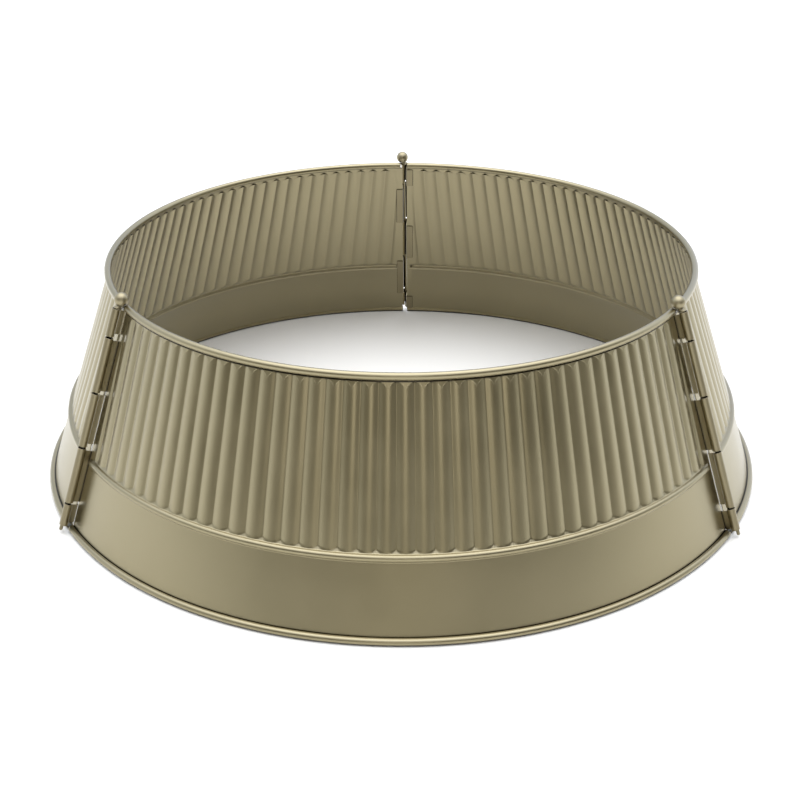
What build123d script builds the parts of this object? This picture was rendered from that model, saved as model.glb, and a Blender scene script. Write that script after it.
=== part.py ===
"""Three-panel fluted tree collar: a truncated cone of pressed sheet, hinged on lift-out pins.

The origin is the middle of the ring on the floor, +Z is up and the front panel faces -Y.
Angles are seen from above, in degrees, counter-clockwise from +X.
"""
from build123d import *
from math import atan2, cos, degrees, radians, sin, sqrt
import os

# Overall size of the collar, over its rims
height = 210.0
top_diameter = 560.0
bottom_diameter = 700.0

# Sheet of the panels and the rims rolled along it
panel_count = 3
sheet = 0.8
rim_diameter = 6.6
rim_outset = 1.6
foot_flat = 0.15
wire_clearance = 0.1
wire_end_inset = 2.0

# The top rims stop short of the ball tops, on each side of a hinge
ball_room = 5.0

# Bead below the flutes
bead_height = 67.5
bead_radius = 3.2

# Flutes of one panel
flute_count = 40
flute_depth = 2.0
margin_width = 17.5
flute_fade = 7.0
bead_to_flutes = 1.0
flutes_to_rim = 1.5

# Hinge pins: each leans in its loose knuckles, inwards or sideways at the top
pin_diameter = 3.2
pin_outset = 4.5
pin_foot_height = 2.0
pin_tip_chamfer = 0.5
pin_lean = 1.4
pin_lean_shares = {"left_hinge": (-1.0, 0.0), "right_hinge": (-1.0, 0.0), "back_hinge": (0.0, 1.0)}

# Hinge knuckles, bent from plate: a row of five runs from just under the top rim to just over the bottom one
plate = 0.8
knuckle_bore = 6.2
knuckle_gap = 2.0
row_below_top = 3.5
row_above_floor = 7.5
knuckle_split_shares = [0.0, 0.125, 0.378, 0.63, 0.895, 1.0]
tab_setback = 1.5
tab_offset = 1.6
edge_clearance = 0.1
strap_width = 7.4
strap_clearance = 0.05

# Mouth of the knuckles that the last pin leaves, seen from the outward side
hook_mouth_start = 5.0
hook_mouth_end = 175.0

# Ball tops, each set a little off its pin, the way the pin leans
ball_diameter = 12.6
ball_offset = 1.0
neck_diameter = 7.2
neck_waist = 5.0
neck_height = 3.4
neck_foot = 0.9
neck_into_ball = 1.0
seat_clearance = 0.2
socket_depth = 8.0
socket_clearance = 0.05
socket_end_play = 0.3

overrun = 10.0

# Panels are centred on these angles, and hinges stand between them
panel_step = 360.0 / panel_count
panel_angles = {"front": -90.0, "right": -90.0 + panel_step, "left": -90.0 - panel_step}
hinge_angles = {"left_hinge": -90.0 - panel_step / 2, "right_hinge": -90.0 + panel_step / 2, "back_hinge": 90.0}

# Rim circles, in the plane of radius and height
rim_radius = rim_diameter / 2
rim_bore_radius = rim_radius - sheet
top_rim_radius = top_diameter / 2 - rim_radius
bottom_rim_radius = bottom_diameter / 2 - rim_radius
top_rim_height = height - rim_radius
bottom_rim_height = rim_radius - foot_flat
rim_rise = top_rim_height - bottom_rim_height
wall_angle = atan2(bottom_rim_radius - top_rim_radius, rim_rise)


def wall_radius(z):
    """Radius of the plain wall's outer face at one height."""
    along = (z - bottom_rim_height) / rim_rise
    centre = bottom_rim_radius + (top_rim_radius - bottom_rim_radius) * along
    return centre - rim_outset + sheet / 2


def pin_radius_at(z):
    """Radius of the hinge axis at one height."""
    along = (z - bottom_rim_height) / rim_rise
    centre = bottom_rim_radius + (top_rim_radius - bottom_rim_radius) * along
    return centre + rim_radius + pin_outset


def around(radius, angle):
    """A point of a level sketch, from its radius and its angle in degrees."""
    return (radius * cos(radians(angle)), radius * sin(radians(angle)))


def radial_plane(angle):
    """The upright plane through the middle at one angle: x is radius and y is height."""
    a = radians(angle)
    return Plane(origin=(0, 0, 0), x_dir=(cos(a), sin(a), 0), z_dir=(sin(a), -cos(a), 0))


def hinge_plane(angle, rise):
    """A plane square to a hinge axis, a slant distance above the floor: x is outward, y counter-clockwise."""
    a = radians(angle)
    z = rise * cos(wall_angle)
    radius = pin_radius_at(z)
    origin = (radius * cos(a), radius * sin(a), z)
    outward = (cos(wall_angle) * cos(a), cos(wall_angle) * sin(a), sin(wall_angle))
    upward = (-sin(wall_angle) * cos(a), -sin(wall_angle) * sin(a), cos(wall_angle))
    return Plane(origin=origin, x_dir=outward, z_dir=upward)


# Heights of the flutes, where they are full and where they have faded into the wall
bead_top = bead_height + bead_radius
flute_foot = bead_top + bead_to_flutes
flute_top = top_rim_height - rim_radius - flutes_to_rim
flute_full_low = flute_foot + flute_fade
flute_full_high = flute_top - flute_fade

# The hinge axis stands off the wall, and the panels' edges stop short of it on each side
stand_off = (pin_radius_at(0) - wall_radius(0)) * cos(wall_angle)
edge_offset = tab_offset + plate + edge_clearance
inner_face = stand_off + sheet * cos(wall_angle)

# Flutes are shared out over the panel's arc between the first and the last valley
margin_angle = degrees(margin_width / wall_radius(flute_foot))
flute_angle = (panel_step - 2 * margin_angle) / flute_count
valley_angles = [margin_angle + flute_angle * i - panel_step / 2 for i in range(flute_count + 1)]


# One face of the fluted sheet turns a corner at each of these angles
first_crest = valley_angles[0] - flute_angle / 2
last_crest = valley_angles[-1] + flute_angle / 2
corner_angles = [-panel_step / 2, first_crest, *valley_angles, last_crest, panel_step / 2]


def fluted_face(face, depth, z):
    """The level outline of one face: an arc over each flute, half an arc down to the field at each side."""
    corner_depths = [0, 0, *[depth] * len(valley_angles), 0, 0]
    middle_depths = [0, depth / 4, *[0] * flute_count, depth / 4, 0]
    arcs = []
    for i, middle_depth in enumerate(middle_depths):
        start, stop = corner_angles[i : i + 2]
        stations = (
            (face - corner_depths[i], start),
            (face - middle_depth, (start + stop) / 2),
            (face - corner_depths[i + 1], stop),
        )
        arcs.append(ThreePointArc(*[(*around(radius, angle), z) for radius, angle in stations]))
    return arcs


def fluted_section(z, depth):
    """The sheet's level section at one height, with the same arcs at every depth so that two sections pair up."""
    outer = fluted_face(wall_radius(z), depth, z)
    inner = fluted_face(wall_radius(z) - sheet, depth, z)
    sides = [Line(outer[0] @ 0, inner[0] @ 0), Line(outer[-1] @ 1, inner[-1] @ 1)]
    return Face(Wire(outer + inner + sides))


def rolled_rim(radius, z):
    """Section of a rim rolled round its wire."""
    with Locations((radius, z)):
        Circle(rim_radius)
        Circle(rim_bore_radius, mode=Mode.SUBTRACT)


# The wall runs into each rim halfway through the rolled sheet, where its slanting line crosses that circle
rim_mid_radius = (rim_radius + rim_bore_radius) / 2
taper = (bottom_rim_radius - top_rim_radius) / rim_rise
slope_square = 1 + taper**2
crossing = sqrt(rim_mid_radius**2 * slope_square - rim_outset**2)
wall_low = bottom_rim_height + (crossing - taper * rim_outset) / slope_square
wall_high = top_rim_height - (crossing + taper * rim_outset) / slope_square
bead_bore_radius = bead_radius - sheet


def wall_point(z, inset=0.0):
    """A point of the wall's section, its outer face moved inwards."""
    return (wall_radius(z) - inset, z)


# One panel, made at angle zero and turned into its three places
flute_stages = ((flute_foot, 0), (flute_full_low, flute_depth), (flute_full_high, flute_depth), (flute_top, 0))
flute_sections = [fluted_section(z, depth) for z, depth in flute_stages]
with BuildPart() as panel:
    with BuildSketch(radial_plane(-panel_step / 2)):
        rolled_rim(bottom_rim_radius, bottom_rim_height)
        rolled_rim(top_rim_radius, top_rim_height)
        with BuildLine():
            Polyline(wall_point(wall_low, sheet), wall_point(wall_low), wall_point(bead_height - bead_radius))
            ThreePointArc(
                wall_point(bead_height - bead_radius),
                wall_point(bead_height, -bead_radius),
                wall_point(bead_height + bead_radius),
            )
            Polyline(
                wall_point(bead_height + bead_radius),
                wall_point(flute_foot),
                wall_point(flute_foot, sheet),
                wall_point(bead_height + bead_bore_radius, sheet),
                wall_point(bead_height + bead_bore_radius),
            )
            ThreePointArc(
                wall_point(bead_height + bead_bore_radius),
                wall_point(bead_height, -bead_bore_radius),
                wall_point(bead_height - bead_bore_radius),
            )
            Polyline(
                wall_point(bead_height - bead_bore_radius),
                wall_point(bead_height - bead_bore_radius, sheet),
                wall_point(wall_low, sheet),
            )
        make_face()
        with BuildLine():
            Polyline(
                wall_point(flute_top, sheet),
                wall_point(flute_top),
                wall_point(wall_high),
                wall_point(wall_high, sheet),
                close=True,
            )
        make_face()
    revolve(axis=Axis.Z, revolution_arc=panel_step)
    for low, high in zip(flute_sections, flute_sections[1:]):
        loft(sections=[low, high], ruled=True)
    for end in (-panel_step / 2, panel_step / 2):
        with BuildSketch(radial_plane(end)):
            with Locations(((top_diameter + bottom_diameter) / 4, height / 2)):
                Rectangle(bottom_diameter - top_diameter, height + 2 * overrun)
        extrude(amount=edge_offset, both=True, mode=Mode.SUBTRACT)
        with BuildSketch(radial_plane(end)):
            with Locations((top_rim_radius, top_rim_height)):
                Rectangle(2 * rim_diameter, rim_diameter)
        extrude(amount=ball_room, both=True, mode=Mode.SUBTRACT)
    with BuildSketch():
        Circle(bottom_diameter)
    extrude(amount=-overrun, mode=Mode.SUBTRACT)


os.makedirs("parts", exist_ok=True)
for name, angle in panel_angles.items():
    with BuildPart() as panel_piece:
        add(panel.part.rotate(Axis.Z, angle))
    panel_piece.part.label = f"{name}_panel"
    export_step(panel_piece.part, f"parts/{name}_panel.step")

# Wires inside the rims
for name, angle in panel_angles.items():
    for level, radius, z, rim_end in (
        ("top", top_rim_radius, top_rim_height, ball_room),
        ("bottom", bottom_rim_radius, bottom_rim_height, edge_offset),
    ):
        short = degrees((rim_end + wire_end_inset) / radius)
        with BuildPart() as wire:
            with BuildSketch(radial_plane(angle - panel_step / 2 + short)):
                with Locations((radius, z)):
                    Circle(rim_bore_radius - wire_clearance)
            revolve(axis=Axis.Z, revolution_arc=panel_step - 2 * short)
        wire.part.label = f"{name}_{level}_wire"
        export_step(wire.part, f"parts/{name}_{level}_wire.step")

# The row of knuckles, in slant distances along the hinge axis
row_low = row_above_floor / cos(wall_angle)
row_high = (height - row_below_top) / cos(wall_angle)
row_middle = (row_low + row_high) / 2
row_half = (row_high - row_low) / 2
bore_radius = knuckle_bore / 2
knuckle_radius = bore_radius + plate
curl_mid_radius = bore_radius + plate / 2
tab_top = -sqrt(curl_mid_radius**2 - (tab_offset + plate / 2) ** 2)
strap_edge = tab_offset + strap_width
wall_drop = wall_radius(height) - sqrt(wall_radius(height) ** 2 - strap_edge**2)
strap_top = -inner_face - wall_drop - strap_clearance


def knuckle(angle, upper, lower, side, hooked):
    """One knuckle between two shares of the row, on one side of the hinge, closed or open-mouthed."""
    top = row_high - (row_high - row_low) * upper - (knuckle_gap / 2 if upper > 0 else 0)
    foot = row_high - (row_high - row_low) * lower + (knuckle_gap / 2 if lower < 1 else 0)
    with BuildPart() as piece:
        with BuildSketch(hinge_plane(angle, foot)):
            Circle(knuckle_radius)
            Circle(bore_radius, mode=Mode.SUBTRACT)
            if hooked:
                reach = 2 * knuckle_radius
                span = hook_mouth_end - hook_mouth_start
                corners = [
                    around(reach, -side * (hook_mouth_start + span * share)) for share in (0, 1 / 4, 1 / 2, 3 / 4, 1)
                ]
                with BuildLine():
                    Polyline((0, 0), *corners, close=True)
                make_face(mode=Mode.SUBTRACT)
        extrude(amount=top - foot)
        with BuildSketch(hinge_plane(angle, foot + tab_setback)):
            with BuildLine():
                Polyline(
                    (tab_top, side * tab_offset),
                    (tab_top, side * (tab_offset + plate)),
                    (strap_top, side * (tab_offset + plate)),
                    (strap_top, side * strap_edge),
                    (strap_top - plate, side * strap_edge),
                    (strap_top - plate, side * tab_offset),
                    close=True,
                )
            make_face()
        extrude(amount=top - foot - 2 * tab_setback)
    return piece


# Odd knuckles belong to the panel on the clockwise side of the hinge, even ones to the other panel
for hinge, angle in hinge_angles.items():
    for index, (upper, lower) in enumerate(zip(knuckle_split_shares, knuckle_split_shares[1:]), start=1):
        side = -1 if index % 2 else 1
        hooked = hinge == "back_hinge" and side > 0
        piece = knuckle(angle, upper, lower, side, hooked)
        piece.part.label = f"{hinge}_knuckle_{index}"
        export_step(piece.part, f"parts/{hinge}_knuckle_{index}.step")


def pin_plane(hinge, rise):
    """A plane square to a leaning pin, a distance above the middle of its row of knuckles."""
    base = hinge_plane(hinge_angles[hinge], row_middle)
    outward_share, sideways_share = pin_lean_shares[hinge]
    axis = base.z_dir * row_half + base.x_dir * (pin_lean * outward_share) + base.y_dir * (pin_lean * sideways_share)
    axis = axis.normalized()
    across = (base.x_dir - axis * base.x_dir.dot(axis)).normalized()
    return Plane(origin=base.origin + axis * rise, x_dir=across, z_dir=axis)


# Pins and their ball tops
pin_radius = pin_diameter / 2
pin_low = pin_foot_height / cos(wall_angle) - row_middle
seat = row_half + seat_clearance
pin_high = seat + socket_depth - socket_end_play
ball_centre = seat + neck_height + ball_diameter / 2 - neck_into_ball
for hinge in hinge_angles:
    with BuildPart() as pin:
        with BuildSketch(pin_plane(hinge, pin_low)):
            Circle(pin_radius)
        extrude(amount=pin_high - pin_low)
        chamfer(pin.edges(), length=pin_tip_chamfer)
    pin.part.label = f"{hinge}_pin"
    export_step(pin.part, f"parts/{hinge}_pin.step")

    with BuildPart() as ball:
        with BuildSketch(pin_plane(hinge, seat)):
            Circle(neck_diameter / 2)
        extrude(amount=neck_foot)
        with BuildSketch(pin_plane(hinge, seat)):
            Circle(neck_waist / 2)
        extrude(amount=neck_height)
        with Locations(pin_plane(hinge, ball_centre)):
            with Locations(tuple(ball_offset * share for share in pin_lean_shares[hinge])):
                Sphere(ball_diameter / 2)
        with BuildSketch(pin_plane(hinge, seat)):
            Circle(pin_radius + socket_clearance)
        extrude(amount=socket_depth, mode=Mode.SUBTRACT)
    ball.part.label = f"{hinge}_ball"
    export_step(ball.part, f"parts/{hinge}_ball.step")
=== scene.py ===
"""Looks of a three-panel fluted tree collar: a tapered ring of painted sheet on loose ball-topped pins.

Sizes are in millimetres until a mesh is made, and angles are in degrees, counter-clockwise from +X seen from
above. The ring stands on the floor round the origin and its front panel faces -Y.
"""

import logging
from dataclasses import dataclass, field
from enum import Enum
from math import acos, atan2, cos, degrees, pi, radians, sin, sqrt

import bpy
import numpy as np
from mathutils import Matrix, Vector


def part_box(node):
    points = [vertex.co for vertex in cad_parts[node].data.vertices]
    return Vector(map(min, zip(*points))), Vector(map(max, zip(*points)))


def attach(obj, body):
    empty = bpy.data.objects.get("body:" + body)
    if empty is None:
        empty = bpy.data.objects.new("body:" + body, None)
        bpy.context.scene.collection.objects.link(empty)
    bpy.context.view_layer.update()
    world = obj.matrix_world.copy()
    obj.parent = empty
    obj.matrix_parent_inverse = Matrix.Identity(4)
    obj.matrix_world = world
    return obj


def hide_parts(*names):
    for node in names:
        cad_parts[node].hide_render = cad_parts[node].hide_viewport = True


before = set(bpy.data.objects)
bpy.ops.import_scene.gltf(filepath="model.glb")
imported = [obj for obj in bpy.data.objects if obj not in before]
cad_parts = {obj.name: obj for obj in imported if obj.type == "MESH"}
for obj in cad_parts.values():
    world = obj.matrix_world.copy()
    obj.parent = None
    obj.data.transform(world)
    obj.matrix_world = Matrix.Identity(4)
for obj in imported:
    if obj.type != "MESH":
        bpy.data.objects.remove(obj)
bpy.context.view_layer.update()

log = logging.getLogger("tree_collar")

METRES_PER_MM = 0.001
SHARP_ANGLE = radians(42)
FRONT = -90.0
BACK = 90.0


class Side(Enum):
    """The side of a hinge on which a panel lies, as a sign for the counter-clockwise direction."""

    CLOCKWISE = -1
    COUNTER_CLOCKWISE = 1


class Curl(Enum):
    """How far a knuckle is rolled round its pin: where the roll ends, as an angle from the way outwards."""

    CLOSED = -172.0
    HOOK = -55.0


def arc(middle: np.ndarray | float, radius: float, angles: np.ndarray) -> np.ndarray:
    """Points on a circle: its middle, plus its radius times the cosine and the sine of each angle.

    Args:
        middle: The circle's middle.
        radius: Its radius.
        angles: Angles in radians.

    Returns:
        The points, one row each.
    """
    return middle + radius * np.stack([np.cos(angles), np.sin(angles)], axis=-1)


def smoothstep(share: np.ndarray) -> np.ndarray:
    """Ease from 0 to 1: three times the square less two times the cube of the share, clipped to 0 and 1.

    Args:
        share: Values that run from 0 to 1 over the ramp.

    Returns:
        The eased values.
    """
    clipped = np.clip(share, 0.0, 1.0)
    return clipped * clipped * (3.0 - 2.0 * clipped)


def grid_faces(rows: int, columns: int, wrap_rows: bool, wrap_columns: bool) -> np.ndarray:
    """Quads between neighbouring points of a grid whose points are numbered row by row.

    Args:
        rows: Number of rows of points.
        columns: Number of points in a row.
        wrap_rows: Whether the last row joins the first.
        wrap_columns: Whether the last column joins the first.

    Returns:
        An array of quads, four point indices each.
    """
    row = np.arange(rows if wrap_rows else rows - 1)[:, None]
    column = np.arange(columns if wrap_columns else columns - 1)[None, :]
    next_row = (row + 1) % rows
    next_column = (column + 1) % columns
    corners = (
        row * columns + column,
        row * columns + next_column,
        next_row * columns + next_column,
        next_row * columns + column,
    )
    return np.stack([np.broadcast_to(c, (row.size, column.size)) for c in corners], axis=-1).reshape(-1, 4)


def points_outwards(points: np.ndarray, faces: list[tuple[int, ...]]) -> bool:
    """Whether a closed shell encloses a positive volume, summed over fans of tetrahedra from the origin.

    Args:
        points: Points of the shell.
        faces: Point indices of each face.

    Returns:
        True where the faces turn counter-clockwise seen from outside.
    """
    triangles = np.array([(f[0], f[i], f[i + 1]) for f in faces for i in range(1, len(f) - 1)])
    a, b, c = (points[triangles[:, i]] for i in range(3))
    return float(np.einsum("ij,ij->i", a, np.cross(b, c)).sum()) > 0.0


def make_piece(name: str, points: np.ndarray, faces: list[tuple[int, ...]]) -> bpy.types.Object:
    """A closed shell as an object at the origin, smooth but for its sharp edges.

    Args:
        name: Name of the piece.
        points: Points in millimetres, one row each.
        faces: Point indices of each face.

    Returns:
        The object, linked to the scene.
    """
    turned = faces if points_outwards(points, faces) else [face[::-1] for face in faces]
    mesh = bpy.data.meshes.new(name)
    mesh.from_pydata((points * METRES_PER_MM).tolist(), [], turned)
    mesh.update()
    mesh.shade_smooth()
    mesh.set_sharp_from_angle(angle=SHARP_ANGLE)
    piece = bpy.data.objects.new(name, mesh)
    bpy.context.scene.collection.objects.link(piece)
    return piece


def as_faces(quads: np.ndarray) -> list[tuple[int, ...]]:
    """The rows of an index array as plain tuples."""
    return [tuple(quad) for quad in quads.tolist()]


def hand_over(
    piece: bpy.types.Object, body: str, slot: str, material: bpy.types.Material, *nodes: str
) -> None:
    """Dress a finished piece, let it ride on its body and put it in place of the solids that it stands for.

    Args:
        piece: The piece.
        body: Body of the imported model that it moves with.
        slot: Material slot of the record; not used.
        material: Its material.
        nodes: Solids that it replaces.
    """
    piece.data.materials.append(material)
    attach(piece, body)
    if nodes:
        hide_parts(*nodes)
    log.info("%s: %d faces, on %s", piece.name, len(piece.data.polygons), body)


@dataclass(frozen=True)
class Collar:
    """Overall sizes of the ring and the lines that its panels and hinges share."""

    height: float
    bottom_diameter: float
    top_diameter: float = 560.0
    panel_count: int = 3
    sheet: float = 0.8
    # The rims' middles lie outside the sheet's middle, and the hinge axes outside the rims' outer line.
    rim_diameter: float = 6.6
    rim_outset: float = 1.6
    pin_outset: float = 4.5
    # The bottom rims are cut flat where they rest, and a painted shade line, for the top rims' shadow, runs
    # just under them.
    foot_flat: float = 0.15
    shade_line_drop: float = 1.0

    @classmethod
    def from_frame(cls) -> "Collar":
        """The ring's sizes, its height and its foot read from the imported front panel."""
        low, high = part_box("front_panel")
        return cls(height=high.z / METRES_PER_MM, bottom_diameter=-2 * low.y / METRES_PER_MM)

    @property
    def rim_radius(self) -> float:
        """Radius of a rolled rim."""
        return self.rim_diameter / 2

    @property
    def top_rim(self) -> tuple[float, float]:
        """Radius and height of the top rim's middle."""
        return self.top_diameter / 2 - self.rim_radius, self.height - self.rim_radius

    @property
    def bottom_rim(self) -> tuple[float, float]:
        """Radius and height of the bottom rim's middle."""
        return self.bottom_diameter / 2 - self.rim_radius, self.rim_radius - self.foot_flat

    @property
    def shade_line_height(self) -> float:
        """Height of the painted shade line under the top rim's lip, which stands for the rim's shadow."""
        return self.top_rim[1] - self.rim_radius - self.shade_line_drop

    @property
    def taper(self) -> float:
        """Radius lost for each unit of height."""
        (top, high), (bottom, low) = self.top_rim, self.bottom_rim
        return (bottom - top) / (high - low)

    @property
    def wall_angle(self) -> float:
        """Lean of the wall from upright, in radians."""
        return atan2(self.taper, 1.0)

    @property
    def panel_step(self) -> float:
        """Angle from one panel to the next."""
        return 360.0 / self.panel_count

    def wall(self, z: np.ndarray | float) -> np.ndarray | float:
        """Radius of the wall's outer face at a height: a straight line between the rims, set inwards."""
        bottom, low = self.bottom_rim
        return bottom - self.taper * (z - low) - self.rim_outset + self.sheet / 2

    def pin_circle(self, z: float) -> float:
        """Radius of the hinge axes at a height."""
        return self.wall(z) + self.rim_outset - self.sheet / 2 + self.rim_radius + self.pin_outset


@dataclass(frozen=True)
class Section:
    """A panel's section as a closed loop: up the outer line, round the top rim, down the inner line and back.

    Each of the two lines has wall_points points, and the inner one begins at inner_start. On the bead, along
    is a point's distance along the wall from the bead's middle, and elsewhere it is not a number. The shares
    say how far a point goes down with the arched heads.
    """

    points: np.ndarray
    along: np.ndarray
    share: np.ndarray
    wall_points: int
    inner_start: int

    @property
    def last_inner(self) -> int:
        """Index of the inner line's lowest point."""
        return self.inner_start + self.wall_points - 1

    @property
    def on_wall(self) -> np.ndarray:
        """Whether each point belongs to the wall and not to a rim, as a column."""
        index = np.arange(len(self.points))[:, None]
        return (index < self.wall_points) | ((index >= self.inner_start) & (index <= self.last_inner))

    @property
    def on_inside(self) -> np.ndarray:
        """Whether each point comes after the top rim, on the inner face or the bottom rim, as a column."""
        return np.arange(len(self.points))[:, None] >= self.inner_start


@dataclass
class FlutedPanel:
    """One pressed panel as a closed sheet: rolled rims, plain band, bead and flutes with arched heads."""

    name: str
    angle: float
    collar: Collar
    # The bead, and the rounded nose in which it ends beside the hinge straps.
    bead_height: float = 67.5
    bead_radius: float = 3.2
    bead_fillet: float = 0.8
    bead_end: float = 6.5
    bead_nose: float = 3.0
    bead_fade: float = 2.4
    nose_reach: float = 1.3
    # The flutes across the panel: the plain margins, the width of the last half flute at each side as a
    # share of the others', the share by which all fan out at the top, and the room left for the straps.
    flute_count: int = 40
    flute_depth: float = 2.0
    margin: float = 17.5
    outer_reed: float = 0.6
    fan: float = 0.028
    valley_round: float = 0.8
    strap_room: float = 9.2
    strap_ease: float = 3.0
    # Their arched heads under the top rim: the arch's height and the share of half a flute at which its
    # side stands upright, and how far below the heads the rows bend with them.
    flutes_to_rim: float = 1.3
    head_arch: float = 5.6
    arch_side: float = 0.88
    head_fade: float = 0.6
    head_reach: float = 16.0
    # Their feet on the bead: the height of the step, its extra ease near a valley and how far that reaches
    # as a share of half a flute, and how far the step begins inside the bead's fillet.
    flute_foot: float = 71.7
    foot_step: float = 1.8
    foot_ease: float = 1.2
    foot_width: float = 0.25
    foot_sink: float = 1.3
    # The rims: how far the panel's ends and its two top ends stop short of the hinges, the gap at the rolled
    # lip, and the open bore at each end.
    edge_offset: float = 2.5
    ball_room: tuple[float, float] = (5.0, 5.0)
    rim_end_round: float = 0.7
    lip_gap: float = 0.9
    lip_depth: float = 0.95
    bore_radius: float = 2.5
    bore_depth: float = 4.0
    # The grid's rows beside sharp changes of shape, and the number of steps in each of its stretches.
    row_inset: float = 0.35
    support_insets: tuple[float, float] = (0.7, 0.14)
    ledge_inset: float = 0.1167
    foot_crowding: float = 1.6
    flute_steps: int = 14
    margin_steps: int = 8
    rim_steps: int = 16
    bead_steps: int = 12
    fillet_steps: int = 4
    head_steps: int = 8
    reach_steps: int = 7
    foot_steps: int = 9
    wall_steps: int = 4

    @property
    def flute_top(self) -> float:
        """Height at which the flutes end under the top rim."""
        return self.collar.top_rim[1] - self.collar.rim_radius - self.flutes_to_rim

    @property
    def ground(self) -> float:
        """Height at which the bead's upper fillet runs out into the wall."""
        reach = sqrt((self.bead_radius + self.bead_fillet) ** 2 - self.bead_fillet**2)
        return self.bead_height + reach * cos(self.collar.wall_angle)

    @property
    def margin_angle(self) -> float:
        """Angle from the middle of a hinge to the first valley."""
        return degrees(self.margin / self.collar.wall(self.flute_foot))

    @property
    def flute_angle(self) -> float:
        """Angle from one valley to the next."""
        return (self.collar.panel_step - 2 * self.margin_angle) / self.flute_count

    def columns(self) -> tuple[np.ndarray, np.ndarray, np.ndarray]:
        """Where the upright lines of the grid stand, closer together at the valleys.

        A flute's lines are spaced as one less the cosine, so that they crowd at both of its valleys. Past the
        outermost valleys come a narrower half flute and the plain margin, stretched to the panel's edge.

        Returns:
            The angle of each line from the panel's middle, its distance from the nearest valley as a share of
            half a flute, and its share of the way across the margin.
        """
        inside = (1 - np.cos(np.pi * np.arange(self.flute_steps) / self.flute_steps)) / 2
        first = self.margin_angle - self.collar.panel_step / 2
        half_angle = self.flute_angle / 2
        angles = (first + self.flute_angle * (np.arange(self.flute_count)[:, None] + inside)).ravel()
        near = np.tile(1 - np.abs(2 * inside - 1), self.flute_count)
        outside = 1 - np.cos(np.pi * np.arange(1, self.flute_steps // 2 + 1) / self.flute_steps)
        margin = 1 - np.linspace(1, 0, self.margin_steps + 1)[1:] ** 2
        last = first - half_angle * self.outer_reed
        low_angles = np.concatenate([first + (last - first) * outside, np.full(margin.size, last)])[::-1]
        low_near = np.concatenate([outside, np.ones(margin.size)])[::-1]
        low_margin = np.concatenate([np.zeros(outside.size), margin])[::-1]
        all_angles = np.concatenate([low_angles, angles, [-first], -low_angles[::-1]])
        all_near = np.concatenate([low_near, near, [0.0], low_near[::-1]])
        all_margin = np.concatenate([low_margin, np.zeros(angles.size + 1), low_margin[::-1]])
        return all_angles, all_near, all_margin

    def head_drop(self, near: np.ndarray) -> np.ndarray:
        """How far a valley's arched head lies below the highest point of the flutes.

        Args:
            near: Distance from the nearest valley as a share of half a flute.

        Returns:
            The arch's height times one less the square root of one less the square of the distance, which is
            first divided by the place where the arch's side stands upright.
        """
        return self.head_arch * (1 - np.sqrt(1 - np.clip(near / self.arch_side, 0.0, 1.0) ** 2))

    def inset(self, near: np.ndarray, z: np.ndarray, distance: np.ndarray) -> np.ndarray:
        """How far the flutes lie inside the plain wall.

        Between two valleys the sheet is an arc of a circle through both of them and the crest, and a valley
        is rounded by adding a small length to the distance from it in squares. The inset eases to nothing
        over a short fade at the arched head and beside the hinge straps. At the foot it begins within the
        bead's upper fillet and eases over a length that falls with the square of the distance from the
        valley, which leaves a small ramp in the valley itself.

        Args:
            near: Distance from the nearest valley as a share of half a flute.
            z: Heights.
            distance: Distance from the middle plane of the nearer hinge.

        Returns:
            The inset of each point.
        """
        half = radians(self.flute_angle) / 2 * self.collar.wall(z)
        bend = (half**2 + self.flute_depth**2) / (2 * self.flute_depth)
        rounded = np.sqrt(near**2 + (self.valley_round / half) ** 2)
        across = np.clip(1 - rounded, 0.0, 1.0) * half
        depth = bend - np.sqrt(bend**2 - across**2)
        head = smoothstep((self.flute_top - self.head_drop(near) - z) / self.head_fade)
        ramp = self.foot_step + self.foot_ease * np.clip(1 - near / self.foot_width, 0.0, 1.0) ** 2
        foot = smoothstep((z - self.ground + self.foot_sink) / (ramp + self.foot_sink))
        beside = smoothstep((distance - self.strap_room) / self.strap_ease)
        return depth * head * foot * beside

    def bead_line(self, inside: float) -> np.ndarray:
        """The bead's section: an arc about a point of the wall's outer line, with a fillet at each end.

        A fillet's middle lies outside the wall's line by its own radius, at the sum of both radii from the
        bead's middle, so that the arcs and the wall are tangent to each other.

        Args:
            inside: How far the line lies inside the sheet's outer face.

        Returns:
            Distances across the wall and along it from the bead's middle, from below to above.
        """
        reach = self.bead_radius + self.bead_fillet
        tip = acos(self.bead_fillet / reach)
        swell = arc(0.0, self.bead_radius - inside, np.linspace(-tip, tip, self.bead_steps + 1))
        bend = np.linspace(0, tip, self.fillet_steps + 1)[:-1]
        middle = np.array([self.bead_fillet, -reach * sin(tip)])
        low = middle + (self.bead_fillet + inside) * np.stack([-np.cos(bend), np.sin(bend)], axis=-1)
        return np.concatenate([low, swell, low[::-1] * [1, -1]])

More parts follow.
